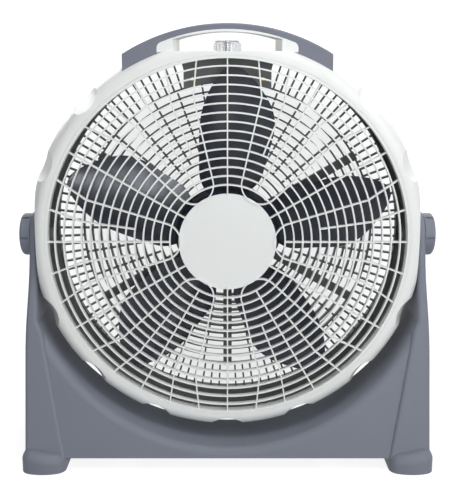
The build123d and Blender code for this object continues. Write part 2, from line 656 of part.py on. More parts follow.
# Speed knob: lobed clear dome on the switch spindle
knob_top = AXIS_HEIGHT + KNOB_BOTTOM + KNOB_HEIGHT
spindle_top = knob_top - KNOB_HEIGHT / 3
with BuildPart() as switch_spindle:
    with Locations((0, KNOB_Y, spindle_bottom + RUN_CLEARANCE)):
        Cylinder(
            SPINDLE_RADIUS,
            spindle_top - spindle_bottom - RUN_CLEARANCE,
            align=(Align.CENTER, Align.CENTER, Align.MIN),
        )
switch_spindle.part.label = "switch_spindle"
export_step(switch_spindle.part, "parts/switch_spindle.step")

with BuildPart() as speed_knob:
    with Locations((0, KNOB_Y, AXIS_HEIGHT + KNOB_BOTTOM)):
        Cylinder(KNOB_RADIUS, KNOB_HEIGHT, align=(Align.CENTER, Align.CENTER, Align.MIN))
        with PolarLocations(KNOB_RADIUS + LOBE_RADIUS / 2, KNOB_LOBES):
            Cylinder(
                LOBE_RADIUS,
                KNOB_HEIGHT,
                align=(Align.CENTER, Align.CENTER, Align.MIN),
                mode=Mode.SUBTRACT,
            )
    with Locations((0, KNOB_Y, AXIS_HEIGHT + KNOB_BOTTOM)):
        Cylinder(
            SPINDLE_RADIUS + RUNNING,
            spindle_top - AXIS_HEIGHT - KNOB_BOTTOM,
            align=(Align.CENTER, Align.CENTER, Align.MIN),
            mode=Mode.SUBTRACT,
        )
speed_knob.part.label = "speed_knob"
export_step(speed_knob.part, "parts/speed_knob.step")

# Run capacitor, hung from the platform beside the switch
capacitor_x = (SWITCH_SIZE / 2 + CONTROL_HALF_WIDTH - CONTROL_WALL) / 2
with BuildPart() as capacitor:
    with Locations((capacitor_x, (CONTROL_FRONT_Y + MOTOR_BACK_Y) / 2, switch_top)):
        Box(
            CAPACITOR_LENGTH,
            CAPACITOR_DEPTH,
            CAPACITOR_HEIGHT,
            align=(Align.CENTER, Align.CENTER, Align.MAX),
        )
    fillet(capacitor.edges().filter_by(Axis.Z), CAPACITOR_DEPTH / 8)
capacitor.part.label = "capacitor"
export_step(capacitor.part, "parts/capacitor.step")

# Gland where the mains cord would leave the control box
with BuildPart() as cord_gland:
    with BuildSketch(facing(HOUSING_BACK_Y)):
        with Locations(gland_spot):
            Circle(GLAND_RADIUS)
    extrude(amount=REAR_WEB_DEPTH + CONTROL_WALL)
    with BuildSketch(facing(HOUSING_BACK_Y + REAR_FLANGE)):
        with Locations(gland_spot):
            Circle(GLAND_FLANGE)
    extrude(amount=REAR_FLANGE)
    with BuildSketch(facing(HOUSING_BACK_Y + REAR_FLANGE)):
        with Locations(gland_spot):
            Circle(GLAND_BORE)
    extrude(amount=REAR_FLANGE + REAR_WEB_DEPTH + CONTROL_WALL, mode=Mode.SUBTRACT)
cord_gland.part.label = "cord_gland"
export_step(cord_gland.part, "parts/cord_gland.step")


# Motor covers: two cups that meet round the stator, each with a bearing seat
def motor_cover(end_y, inward):
    """A cup closed at end_y with its mouth at the motor's middle; inward is 1 or -1 along Y."""
    seat = BEARING_RADIUS
    hub = seat + BEARING_SEAT
    inner_y = end_y + inward * MOTOR_WALL
    seat_y = end_y + inward * BEARING_LENGTH
    with BuildPart() as cup:
        with BuildSketch(RADIAL):
            with BuildLine():
                Polyline(
                    (seat, end_y),
                    (MOTOR_RADIUS - MOTOR_WALL * 2, end_y),
                    (MOTOR_RADIUS, end_y + inward * MOTOR_WALL * 2),
                    (MOTOR_RADIUS, MOTOR_MID_Y),
                    (MOTOR_RADIUS - MOTOR_WALL, MOTOR_MID_Y),
                    (MOTOR_RADIUS - MOTOR_WALL, end_y + inward * MOTOR_WALL * 3),
                    (MOTOR_RADIUS - MOTOR_WALL * 3, inner_y),
                    (hub, inner_y),
                    (hub, seat_y),
                    (seat, seat_y),
                    close=True,
                )
            make_face()
        revolve(axis=DRUM_AXIS)
    return cup.part


with BuildPart() as motor_front_cover:
    add(motor_cover(MOTOR_FRONT_Y, 1))
motor_front_cover.part.label = "motor_front_cover"
export_step(motor_front_cover.part, "parts/motor_front_cover.step")

with BuildPart() as motor_rear_cover:
    add(motor_cover(MOTOR_BACK_Y, -1))
    with Locations(facing(MOTOR_BACK_Y)):
        with PolarLocations(MOTOR_SCREW_CIRCLE, MOTOR_SCREWS, start_angle=180 / MOTOR_SCREWS):
            Cylinder(SCREW_RADIUS + THREAD_CLEARANCE, 4 * MOTOR_WALL, mode=Mode.SUBTRACT)
motor_rear_cover.part.label = "motor_rear_cover"
export_step(motor_rear_cover.part, "parts/motor_rear_cover.step")


def bearing(start_y):
    """A plain bearing bush from start_y backwards."""
    with BuildPart() as bush:
        with BuildSketch(facing(start_y + BEARING_LENGTH)):
            Circle(BEARING_RADIUS)
            Circle(SHAFT_RADIUS + RUNNING, mode=Mode.SUBTRACT)
        extrude(amount=BEARING_LENGTH)
    return bush.part


with BuildPart() as front_bearing:
    add(bearing(MOTOR_FRONT_Y))
front_bearing.part.label = "front_bearing"
export_step(front_bearing.part, "parts/front_bearing.step")

with BuildPart() as rear_bearing:
    add(bearing(MOTOR_BACK_Y - BEARING_LENGTH))
rear_bearing.part.label = "rear_bearing"
export_step(rear_bearing.part, "parts/rear_bearing.step")

# Stator: slotted core between the covers, with a winding ring on each end
stator_radius = MOTOR_RADIUS - MOTOR_WALL
with BuildPart() as stator_core:
    with BuildSketch(facing(MOTOR_MID_Y + STATOR_LENGTH / 2)):
        Circle(stator_radius)
        Circle(STATOR_BORE, mode=Mode.SUBTRACT)
        with PolarLocations(STATOR_BORE + (SLOT_DEPTH - SLOT_WIDTH) / 2, STATOR_SLOTS):
            Rectangle(SLOT_DEPTH + SLOT_WIDTH, SLOT_WIDTH, mode=Mode.SUBTRACT)
    extrude(amount=STATOR_LENGTH)
stator_core.part.label = "stator_core"
export_step(stator_core.part, "parts/stator_core.step")

winding_radius = STATOR_BORE + SLOT_DEPTH / 2 + WINDING_WIDTH / 4
with BuildPart() as stator_windings:
    with BuildSketch(RADIAL):
        for end in (-1, 1):
            with Locations((winding_radius, MOTOR_MID_Y + end * (STATOR_LENGTH + WINDING_HEIGHT) / 2)):
                Rectangle(WINDING_WIDTH, WINDING_HEIGHT)
    revolve(axis=DRUM_AXIS)
stator_windings.part.label = "stator_windings"
export_step(stator_windings.part, "parts/stator_windings.step")

with BuildPart() as motor_screws:
    with Locations(
        *[
            backing(HOUSING_BACK_Y, MOTOR_SCREW_CIRCLE, (number + 0.5) * 360 / MOTOR_SCREWS)
            for number in range(MOTOR_SCREWS)
        ]
    ):
        add(screw(SCREW_HEAD, SCREW_HEAD_HEIGHT, SCREW_RADIUS, REAR_WEB_DEPTH + 2 * MOTOR_WALL))
motor_screws.part.label = "motor_screws"
export_step(motor_screws.part, "parts/motor_screws.step")

# Rotor: shaft, core, blade and nut turn together
shaft_front_y = NUT_FRONT_Y + WALL / 2
shaft_back_y = MOTOR_BACK_Y - MOTOR_WALL
flat_back_y = HUB_FRONT_Y + HUB_BOSS_LENGTH
with BuildPart() as rotor_shaft:
    with BuildSketch(facing(shaft_back_y)):
        Circle(SHAFT_RADIUS)
    extrude(amount=shaft_back_y - shaft_front_y)
    with BuildSketch(facing(flat_back_y)):
        with Locations((0, SHAFT_RADIUS - SHAFT_FLAT)):
            Rectangle(4 * SHAFT_RADIUS, 4 * SHAFT_RADIUS, align=(Align.CENTER, Align.MIN))
    extrude(amount=HUB_BOSS_LENGTH, mode=Mode.SUBTRACT)
rotor_shaft.part.label = "rotor_shaft"
export_step(rotor_shaft.part, "parts/rotor_shaft.step")

core_length = STATOR_LENGTH + 2 * ROTOR_OVERHANG
with BuildPart() as rotor_core:
    with BuildSketch(facing(MOTOR_MID_Y + core_length / 2)):
        Circle(STATOR_BORE - AIR_GAP)
        Circle(SHAFT_RADIUS, mode=Mode.SUBTRACT)
    extrude(amount=core_length)
rotor_core.part.label = "rotor_core"
export_step(rotor_core.part, "parts/rotor_core.step")


# Blade: leaf outline from hub to tip, as (share of the span, leading side, trailing side, half rise)
BLADE_SECTIONS = [
    (0.00, 25, 27, 18),
    (0.25, 51, 43, 17),
    (0.50, 61, 44, 14),
    (0.70, 55, 39, 10.5),
    (0.85, 37, 28, 7),
    (0.95, 20, 16, 4),
    (1.00, 6, 5, 2),
]
BLADE_ROOT = HUB_RADIUS - ROOT_SINK
BLADE_MID_Y = HUB_FRONT_Y + HUB_LENGTH / 2


def blade_profile(lead, trail, rise):
    """A cambered section with its leading edge low, which is rearward, and its trailing edge high."""
    start, stop = Vector(-lead, -rise), Vector(trail, rise)
    chord = stop - start
    normal = Vector(-chord.Y, chord.X).normalized()
    middle = (start + stop) / 2 - normal * chord.length * BLADE_CAMBER
    edge, belly = normal * (BLADE_EDGE / 2), normal * (BLADE_THICKNESS / 2)
    with BuildSketch() as profile:
        with BuildLine():
            front = ThreePointArc(start + edge, middle + belly, stop + edge)
            back = ThreePointArc(start - edge, middle - belly, stop - edge)
            Line(front @ 0, back @ 0)
            Line(front @ 1, back @ 1)
        make_face()
    return profile.sketch


with BuildPart() as blade:
    for share, lead, trail, rise in BLADE_SECTIONS:
        reach = BLADE_ROOT + share * (BLADE_TIP - BLADE_ROOT)
        section = Plane(origin=(reach, BLADE_MID_Y, AXIS_HEIGHT), x_dir=(0, 0, 1), z_dir=(1, 0, 0))
        with BuildSketch(section):
            add(blade_profile(lead, trail, rise))
    loft()
    with BuildSketch(facing(HUB_BACK_Y + HUB_LENGTH)):
        Circle(HUB_RADIUS - HUB_WALL / 2)
    extrude(amount=3 * HUB_LENGTH, mode=Mode.SUBTRACT)

with BuildPart() as fan_blade:
    with BuildSketch(RADIAL):
        with BuildLine():
            Polyline(
                (0, HUB_FRONT_Y),
                (HUB_RADIUS, HUB_FRONT_Y),
                (HUB_RADIUS, HUB_BACK_Y),
                (HUB_RADIUS - HUB_WALL, HUB_BACK_Y),
                (HUB_RADIUS - HUB_WALL, HUB_FRONT_Y + HUB_WALL),
                (HUB_BOSS_RADIUS, HUB_FRONT_Y + HUB_WALL),
                (HUB_BOSS_RADIUS, HUB_FRONT_Y + HUB_BOSS_LENGTH),
                (0, HUB_FRONT_Y + HUB_BOSS_LENGTH),
                close=True,
            )
        make_face()
    revolve(axis=DRUM_AXIS)
    with BuildSketch(facing(flat_back_y)):
        Circle(SHAFT_RADIUS + RUNNING)
        with Locations((0, SHAFT_RADIUS - SHAFT_FLAT + RUNNING)):
            Rectangle(
                4 * SHAFT_RADIUS,
                4 * SHAFT_RADIUS,
                align=(Align.CENTER, Align.MIN),
                mode=Mode.SUBTRACT,
            )
    extrude(amount=HUB_BOSS_LENGTH, mode=Mode.SUBTRACT)
    for number in range(BLADES):
        add(blade.part.rotate(FACE_AXIS, BLADE_TURN + number * 360 / BLADES))
fan_blade.part.label = "fan_blade"
export_step(fan_blade.part, "parts/fan_blade.step")

with BuildPart() as blade_nut:
    with BuildSketch(facing(HUB_FRONT_Y)):
        Circle(NUT_RADIUS)
        with PolarLocations(NUT_RADIUS, NUT_FLUTES):
            Circle(NUT_RADIUS / 5, mode=Mode.SUBTRACT)
    extrude(amount=NUT_LENGTH)
    with BuildSketch(facing(HUB_FRONT_Y)):
        Circle(SHAFT_RADIUS)
    extrude(amount=HUB_FRONT_Y - shaft_front_y, mode=Mode.SUBTRACT)
blade_nut.part.label = "blade_nut"
export_step(blade_nut.part, "parts/blade_nut.step")

# Screws of the drum
with BuildPart() as bezel_screws:
    with Locations(
        *[
            backing(JOINT_Y + tab_thickness, BEZEL_SCREW_CIRCLE, angle)
            for angle in BEZEL_SCREW_ANGLES
        ]
    ):
        add(screw(SCREW_HEAD, SCREW_HEAD_HEIGHT, SCREW_RADIUS, SCREW_LENGTH))
bezel_screws.part.label = "bezel_screws"
export_step(bezel_screws.part, "parts/bezel_screws.step")

with BuildPart() as rear_grille_screws:
    with Locations(
        *[
            backing(HOUSING_BACK_Y + REAR_FLANGE, REAR_SCREW_CIRCLE, angle)
            for angle in REAR_SCREW_ANGLES
        ]
    ):
        add(screw(SCREW_HEAD, SCREW_HEAD_HEIGHT, SCREW_RADIUS, SCREW_LENGTH - WALL))
rear_grille_screws.part.label = "rear_grille_screws"
export_step(rear_grille_screws.part, "parts/rear_grille_screws.step")

# Pivots: threaded inserts and friction washers on the drum, bushes in the arms, bolts with moulded knobs
with BuildPart() as pivot_inserts:
    with BuildSketch(outward(SIDE_FLAT)):
        Circle(INSERT_RADIUS)
        Circle(BOLT_RADIUS + RUNNING, mode=Mode.SUBTRACT)
    extrude(amount=-INSERT_LENGTH)
    mirror(about=Plane.YZ)
pivot_inserts.part.label = "pivot_inserts"
export_step(pivot_inserts.part, "parts/pivot_inserts.step")

with BuildPart() as friction_washers:
    with BuildSketch(outward(SIDE_FLAT)):
        Circle(WASHER_RADIUS)
        Circle(BOLT_RADIUS + FIT, mode=Mode.SUBTRACT)
    extrude(amount=WASHER_THICKNESS)
    mirror(about=Plane.YZ)
friction_washers.part.label = "friction_washers"
export_step(friction_washers.part, "parts/friction_washers.step")

with BuildPart() as pivot_bushes:
    with BuildSketch(outward(ARM_INNER)):
        Circle(BUSH_RADIUS)
        Circle(BOLT_RADIUS + RUNNING, mode=Mode.SUBTRACT)
    extrude(amount=ARM_THICKNESS)
    mirror(about=Plane.YZ)
pivot_bushes.part.label = "pivot_bushes"
export_step(pivot_bushes.part, "parts/pivot_bushes.step")

bolt_start = SIDE_FLAT - INSERT_LENGTH
bolt_end = TILT_KNOB_BASE + TILT_KNOB_THICKNESS - TILT_KNOB_CAP
with BuildPart() as right_tilt_bolt:
    with BuildSketch(outward(bolt_start)):
        Circle(BOLT_RADIUS)
    extrude(amount=bolt_end - bolt_start)
    chamfer(right_tilt_bolt.faces().sort_by(Axis.X)[0].edges(), BOLT_RADIUS / 5)
right_tilt_bolt.part.label = "right_tilt_bolt"
export_step(right_tilt_bolt.part, "parts/right_tilt_bolt.step")

with BuildPart() as left_tilt_bolt:
    mirror(right_tilt_bolt.part, about=Plane.YZ)
left_tilt_bolt.part.label = "left_tilt_bolt"
export_step(left_tilt_bolt.part, "parts/left_tilt_bolt.step")

slot_depth = TILT_KNOB_ROUND / 2
with BuildPart() as right_tilt_knob:
    with BuildSketch(outward(TILT_KNOB_BASE)):
        Circle(TILT_KNOB_RADIUS)
    extrude(amount=TILT_KNOB_THICKNESS)
    fillet(right_tilt_knob.faces().sort_by(Axis.X)[-1].edges(), TILT_KNOB_ROUND)
    with BuildSketch(outward(TILT_KNOB_BASE + TILT_KNOB_ROUND / 2)):
        with PolarLocations(TILT_KNOB_RADIUS, TILT_KNOB_SLOTS):
            Rectangle(2 * slot_depth, TILT_KNOB_SLOT)
    extrude(amount=TILT_KNOB_THICKNESS, mode=Mode.SUBTRACT)
    with BuildSketch(outward(TILT_KNOB_BASE)):
        Circle(BOLT_RADIUS + RUNNING)
    extrude(amount=bolt_end - TILT_KNOB_BASE, mode=Mode.SUBTRACT)
right_tilt_knob.part.label = "right_tilt_knob"
export_step(right_tilt_knob.part, "parts/right_tilt_knob.step")

with BuildPart() as left_tilt_knob:
    mirror(right_tilt_knob.part, about=Plane.YZ)
left_tilt_knob.part.label = "left_tilt_knob"
export_step(left_tilt_knob.part, "parts/left_tilt_knob.step")


# Stand: two hollow A-shaped arms, joined by an inclined apron and the cradle wall above it
def arm_form(grow, floor_z, inner_reach):
    """The right arm as a solid, moved outward by grow, down to floor_z, its foot widened by inner_reach."""
    floor = floor_z - AXIS_HEIGHT
    neck = -sqrt(CRADLE_RADIUS**2 - ARM_INNER**2)
    top = ARM_END_RADIUS + 2 * ARM_ROUND
    with BuildPart() as form:
        with BuildSketch(SIDEWAYS) as side_view:
            with BuildLine():
                CenterArc((0, 0), ARM_END_RADIUS + grow, 0, 360)
                slant = grow / cos(radians(FRONT_TILT))
                spread = (ARM_FLOOR - floor_z) * sin(radians(FRONT_TILT)) / cos(radians(FRONT_TILT))
                half = ARM_REACH + slant + spread
                Line((-half, floor), (half, floor))
            make_hull()
        extrude(amount=FAR)
        with BuildSketch(facing(FOOT_LENGTH)) as front_view:
            with BuildLine():
                Polyline(
                    (ARM_SIDE + grow, top),
                    (ARM_SIDE + grow, -SPLAY_START),
                    (ARM_OUTER + grow, -SPLAY_END),
                    (ARM_OUTER + grow, floor),
                    (COLUMN_INNER - grow - inner_reach, floor),
                    (CREASE_X - grow, -CREASE_DROP),
                    (ARM_INNER - grow, neck),
                    (ARM_INNER - grow, top),
                    close=True,
                )
            make_face()
            fillet(front_view.vertices().sort_by(Axis.X)[-4:].sort_by(Axis.Y)[1:3], SPLAY_ROUND)
        extrude(amount=2 * FOOT_LENGTH, mode=Mode.INTERSECT)
    return form.part


def cradle_form(grow, floor_z, back_y, half):
    """The block below the cradle's arc and behind the apron, moved outward by grow and half to each side."""
    floor = floor_z - AXIS_HEIGHT
    neck = -sqrt(CRADLE_RADIUS**2 - ARM_INNER**2)
    rise, run = sin(radians(FRONT_TILT)), cos(radians(FRONT_TILT))
    stand_off = ARM_END_RADIUS - APRON_SETBACK + grow
    front = Plane(origin=(0, -run * stand_off, AXIS_HEIGHT + rise * stand_off), z_dir=(0, -run, rise))
    with BuildPart() as form:
        with BuildSketch(facing(back_y)):
            with Locations((0, floor)):
                Rectangle(2 * half, neck - floor, align=(Align.CENTER, Align.MIN))
            Circle(CRADLE_RADIUS - grow, mode=Mode.SUBTRACT)
        extrude(amount=FOOT_LENGTH)
        split(bisect_by=front, keep=Keep.BOTTOM)
        fillet(form.edges().filter_by(GeomType.ELLIPSE), RIDGE_ROUND + grow)
    return form.part


with BuildPart() as cradle_hollow:
    hollow_half = CREASE_X - 3 * STAND_WALL
    add(cradle_form(-STAND_WALL, ARM_FLOOR - STAND_WALL, CRADLE_BACK_Y + STAND_WALL, hollow_half))
    for number in range(RIBS):
        with Locations(((number - (RIBS - 1) / 2) * RIB_PITCH, 0, 0)):
            Box(STAND_WALL, 2 * FAR, 2 * FAR, mode=Mode.SUBTRACT)

bush_boss = BUSH_RADIUS + BUSH_BOSS_WALL
foot_x = (COLUMN_INNER + ARM_OUTER) / 2
with BuildPart() as arm_hollow:
    add(arm_form(-STAND_WALL, ARM_FLOOR - STAND_WALL, 0))
    with Locations(outward(ARM_INNER)):
        Cylinder(bush_boss, 4 * ARM_THICKNESS, mode=Mode.SUBTRACT)
    for spot in (-FOOT_SCREW_SPREAD, FOOT_SCREW_SPREAD):
        with Locations((foot_x, spot, ARM_FLOOR)):
            Cylinder(SCREW_BOSS, 4 * SCREW_LENGTH, mode=Mode.SUBTRACT)
            Box(FAR, STAND_WALL, 4 * SCREW_LENGTH, mode=Mode.SUBTRACT)

with BuildPart() as stand_arm:
    add(arm_form(0, ARM_FLOOR, 0))
    arm_sides = stand_arm.faces().filter_by_position(Axis.X, ARM_SIDE - FIT, ARM_OUTER + FIT)
    arm_rim = arm_sides.edges().filter_by(Axis.Y, reverse=True)
    arm_front = stand_arm.faces().filter_by(GeomType.PLANE).sort_by(Axis.Y)[0]
    front_edges = arm_front.edges().filter_by(Axis.X, reverse=True)
    inner_edges = front_edges.filter_by_position(Axis.X, 0, ARM_SIDE - FIT)
    fillet(arm_rim + inner_edges, ARM_ROUND)

with BuildPart() as stand_body:
    add(cradle_form(0, ARM_FLOOR, CRADLE_BACK_Y, (ARM_INNER + ARM_OUTER) / 2))
    add(cradle_hollow.part, mode=Mode.SUBTRACT)
    add(stand_arm.part)
    mirror(stand_arm.part, about=Plane.YZ)
    add(arm_hollow.part, mode=Mode.SUBTRACT)
    mirror(arm_hollow.part, about=Plane.YZ, mode=Mode.SUBTRACT)
    with Locations(outward(0)):
        Cylinder(BUSH_RADIUS, 2 * FAR, mode=Mode.SUBTRACT)
    for side in (-1, 1):
        with Locations(
            (side * foot_x, -FOOT_SCREW_SPREAD, ARM_FLOOR), (side * foot_x, FOOT_SCREW_SPREAD, ARM_FLOOR)
        ):
            Cylinder(SCREW_RADIUS + THREAD_CLEARANCE, 2 * SCREW_LENGTH, mode=Mode.SUBTRACT)
stand_body.part.label = "stand_body"
export_step(stand_body.part, "parts/stand_body.step")

# Feet: long skids with rounded toes that cup the arms, on rubber pads
foot_outer = ARM_OUTER + FOOT_LIP
foot_width = foot_outer - COLUMN_INNER
foot_middle = (foot_outer + COLUMN_INNER) / 2
pad_y = FOOT_LENGTH / 2 - PAD_INSET
screw_seat = ARM_FLOOR - 2 * SCREW_HEAD_HEIGHT
with BuildPart() as right_foot:
    with BuildSketch(Plane.XY.offset(FOOT_BOTTOM)) as foot_plan:
        with BuildLine():
            end = FOOT_LENGTH / 2
            shoulder = end - TOE_BOW
            toe = ThreePointArc((COLUMN_INNER, -shoulder), (foot_middle, -end), (foot_outer, -shoulder))
            heel = ThreePointArc((foot_outer, shoulder), (foot_middle, end), (COLUMN_INNER, shoulder))
            Line(toe @ 1, heel @ 0)
            Line(heel @ 1, toe @ 0)
        make_face()
        fillet(foot_plan.vertices(), FOOT_CORNER)
    extrude(amount=FOOT_HEIGHT - FOOT_BOTTOM)
    foot_top = Plane(origin=(foot_outer, 0, FOOT_HEIGHT), z_dir=(-FOOT_FALL, 0, foot_width))
    split(bisect_by=foot_top, keep=Keep.BOTTOM)
    fillet(right_foot.faces().sort_by(Axis.Z)[-1].edges(), FOOT_ROUND)
    add(arm_form(FIT, ARM_FLOOR, foot_width), mode=Mode.SUBTRACT)
    with Locations((foot_middle, pad_y, FOOT_BOTTOM), (foot_middle, -pad_y, FOOT_BOTTOM)):
        Box(
            PAD_WIDTH + FIT,
            PAD_LENGTH + FIT,
            2 * (PAD_THICKNESS - PAD_PROUD),
            mode=Mode.SUBTRACT,
        )
    with Locations((foot_x, -FOOT_SCREW_SPREAD, 0), (foot_x, FOOT_SCREW_SPREAD, 0)):
        Cylinder(SCREW_RADIUS + THREAD_CLEARANCE, FAR, mode=Mode.SUBTRACT)
        Cylinder(SCREW_HEAD + FIT, 2 * screw_seat, mode=Mode.SUBTRACT)
right_foot.part.label = "right_foot"
export_step(right_foot.part, "parts/right_foot.step")

with BuildPart() as left_foot:
    mirror(right_foot.part, about=Plane.YZ)
left_foot.part.label = "left_foot"
export_step(left_foot.part, "parts/left_foot.step")

with BuildPart() as foot_pads:
    with BuildSketch(Plane.XY):
        with Locations(
            (foot_middle, pad_y), (foot_middle, -pad_y), (-foot_middle, pad_y), (-foot_middle, -pad_y)
        ):
            Rectangle(PAD_WIDTH, PAD_LENGTH)
    extrude(amount=PAD_THICKNESS)
foot_pads.part.label = "foot_pads"
export_step(foot_pads.part, "parts/foot_pads.step")

with BuildPart() as foot_screws:
    with Locations(
        *[
            Plane(origin=(side * foot_x, spot, screw_seat), z_dir=(0, 0, -1))
            for side in (-1, 1)
            for spot in (-FOOT_SCREW_SPREAD, FOOT_SCREW_SPREAD)
        ]
    ):
        add(screw(SCREW_HEAD, SCREW_HEAD_HEIGHT, SCREW_RADIUS, SCREW_LENGTH))
foot_screws.part.label = "foot_screws"
export_step(foot_screws.part, "parts/foot_screws.step")
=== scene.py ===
# %% [markdown]
# A round-drum floor fan on a U-shaped stand, dressed for a studio picture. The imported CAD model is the
# fixed frame: every piece below sits on it or takes the place of one of its nodes. Lengths are in metres,
# X is to the right, the front of the fan looks along -Y and Z is up.

import json
import math

import bpy
from mathutils import Matrix, Vector


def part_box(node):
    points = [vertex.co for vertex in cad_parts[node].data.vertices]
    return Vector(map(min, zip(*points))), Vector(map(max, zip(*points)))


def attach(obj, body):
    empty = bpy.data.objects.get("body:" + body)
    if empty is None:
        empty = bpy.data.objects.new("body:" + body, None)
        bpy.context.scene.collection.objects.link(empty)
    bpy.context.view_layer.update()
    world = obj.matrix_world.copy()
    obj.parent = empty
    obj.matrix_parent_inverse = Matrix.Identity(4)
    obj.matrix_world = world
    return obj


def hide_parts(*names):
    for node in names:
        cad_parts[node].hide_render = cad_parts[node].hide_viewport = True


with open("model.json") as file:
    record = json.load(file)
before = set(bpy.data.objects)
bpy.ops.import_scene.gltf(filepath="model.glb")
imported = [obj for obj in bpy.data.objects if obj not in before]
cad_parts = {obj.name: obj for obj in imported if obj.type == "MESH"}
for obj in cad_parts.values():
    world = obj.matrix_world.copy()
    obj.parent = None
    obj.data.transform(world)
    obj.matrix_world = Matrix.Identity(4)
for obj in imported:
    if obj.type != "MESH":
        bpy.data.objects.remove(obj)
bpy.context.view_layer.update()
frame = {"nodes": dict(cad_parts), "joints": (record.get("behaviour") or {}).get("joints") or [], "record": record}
nodes = frame["nodes"]
bpy.ops.object.select_all(action="DESELECT")

# %% [markdown]
# The photograph is taken from straight in front and twelve degrees above, from about 1.2 m. The picture
# is 455 by 500 pixels, so the 36 mm of the sensor lie along its height. The optical axis crosses the
# picture a little above its middle, which the small shift gives.

# %% Camera
PICTURE_HEIGHT = 500
AXIS_ABOVE_MIDDLE = 7.7
LENS_MM, SENSOR_MM = 59.8, 36
CAMERA_PLACE = (0, -1.189, 0.565)
LOOK_DOWN = 12
camera_data = bpy.data.cameras.new("camera")
camera_data.lens = LENS_MM
camera_data.sensor_width = SENSOR_MM
camera_data.shift_y = -AXIS_ABOVE_MIDDLE / PICTURE_HEIGHT
camera = bpy.data.objects.new("camera", camera_data)
camera.location = CAMERA_PLACE
camera.rotation_euler = (math.radians(90 - LOOK_DOWN), 0, 0)
bpy.context.scene.collection.objects.link(camera)
bpy.context.scene.camera = camera
print("camera", tuple(round(v, 3) for v in camera.location))

# %% [markdown]
# Materials are made of nodes. A few small helpers do the repeated work: one turns a hex colour, as a
# paint chart writes it, into the linear numbers that Blender works with, one adds a node with its
# settings and links, one starts a material, and one turns a real size in millimetres into the scale of a
# noise.

# %% Helpers for materials


def linear(hex_colour):
    """The linear colour of an sRGB hex value."""
    shares = [int(hex_colour[i:i + 2], 16) / 255 for i in (1, 3, 5)]
    return tuple(s / 12.92 if s <= 0.04045 else ((s + 0.055) / 1.055) ** 2.4 for s in shares) + (1.0,)


def node(tree, kind, inputs=None, **settings):
    """Adds a node, sets its properties, and fills its inputs with values or with links from other nodes."""
    made = tree.nodes.new(kind)
    for name, value in settings.items():
        setattr(made, name, value)
    for name, value in (inputs or {}).items():
        socket = made.inputs[name]
        if isinstance(value, bpy.types.NodeSocket):
            tree.links.new(value, socket)
        else:
            socket.default_value = value
    return made


def new_material(name):
    """An empty material and its shader, with Object coordinates at hand."""
    material = bpy.data.materials.new(name)
    material.use_nodes = True
    tree = material.node_tree
    shader = tree.nodes["Principled BSDF"]
    place = node(tree, "ShaderNodeTexCoord").outputs["Object"]
    return material, tree, shader, place


def per_metre(size_mm):
    """Noise scale whose features are about size_mm across."""
    return 1000 / size_mm


print("the mid grey #808080 in linear numbers", round(linear("#808080")[0], 3))

# %% [markdown]
# Moulded plastic is never one flat colour. The mould's fine spark-eroded grain breaks up the highlight,
# the colour drifts a little where the melt flowed, and handling leaves faint dull patches. One recipe
# gives these three for every plastic here, each with its own colours and sizes. The real grain is finer
# than a pixel, so it is drawn as coarse as it needs to show.

# %% Recipe for moulded plastic
PLASTIC_IOR = 1.54
FLOW_MM = 90
WEAR_MM = FLOW_MM / 3
POLISHED, RUBBED_DULL = 0.06, 0.08
GRAIN_STRENGTH = 0.6


def moulded(name, main, drift, grain_mm, grain_depth_mm, roughness, sheen_level):
    """A plastic whose colour wanders from main to drift, with its mould's grain and an uneven gloss."""
    material, tree, shader, place = new_material(name)
    flow = node(tree, "ShaderNodeTexNoise", {"Vector": place, "Scale": per_metre(FLOW_MM), "Detail": 3.0})
    tint = node(
        tree,
        "ShaderNodeMix",
        {"Factor": flow.outputs["Fac"], "A": linear(main), "B": linear(drift)},
        data_type="RGBA",
    )
    grain = node(tree, "ShaderNodeTexNoise", {"Vector": place, "Scale": per_metre(grain_mm), "Detail": 4.0})
    wear = node(tree, "ShaderNodeTexNoise", {"Vector": place, "Scale": per_metre(WEAR_MM), "Detail": 6.0})
    gloss = node(
        tree,
        "ShaderNodeMapRange",
        {"Value": wear.outputs["Fac"], "To Min": roughness - POLISHED, "To Max": roughness + RUBBED_DULL},
    )
    bump = node(
        tree,
        "ShaderNodeBump",
        {"Height": grain.outputs["Fac"], "Distance": grain_depth_mm / 1000, "Strength": GRAIN_STRENGTH},
    )
    tree.links.new(tint.outputs["Result"], shader.inputs["Base Color"])
    tree.links.new(gloss.outputs["Result"], shader.inputs["Roughness"])
    tree.links.new(bump.outputs["Normal"], shader.inputs["Normal"])
    shader.inputs["IOR"].default_value = PLASTIC_IOR
    shader.inputs["Specular IOR Level"].default_value = sheen_level
    return material


print("plastic recipe: flow", FLOW_MM, "mm, wear", WEAR_MM, "mm")

# %% Moulded plastics of the fan
# ABS for the white front: a satin sheen with hardly any grain
white_abs = moulded("white_abs", "#ecedeb", "#e4e5e2", 0.8, 0.02, roughness=0.36, sheen_level=0.4)
# Textured polypropylene for the blue-grey stand: a dull even sheen
grey_pp = moulded(
    "blue_grey_polypropylene", "#7b7f8a", "#747883", 0.9, 0.05, roughness=0.5, sheen_level=0.2
)
# Dark ABS inside the drum, matt from its texture
dark_abs = moulded("dark_grey_abs", "#626365", "#565759", 0.9, 0.05, roughness=0.5, sheen_level=0.3)
# The same ABS on the drum's wall and the control box, with painted light: a lighter colour stands in for the light
# that falls on them
painted_light_abs = moulded("grey_abs_painted_lighter", "#868784", "#797a77", 1.1, 0.05, roughness=0.55, sheen_level=0.3)
# Polypropylene blades: dark navy, with a smooth gloss that mirrors the lamps
navy_pp = moulded(
    "navy_blade_polypropylene", "#282b39", "#222532", 1.2, 0.02, roughness=0.22, sheen_level=0.4
)
# Rubber pads and friction washers, matt and nearly black
black_rubber = moulded("black_rubber", "#242424", "#1c1c1c", 0.6, 0.1, roughness=0.78, sheen_level=0.3)
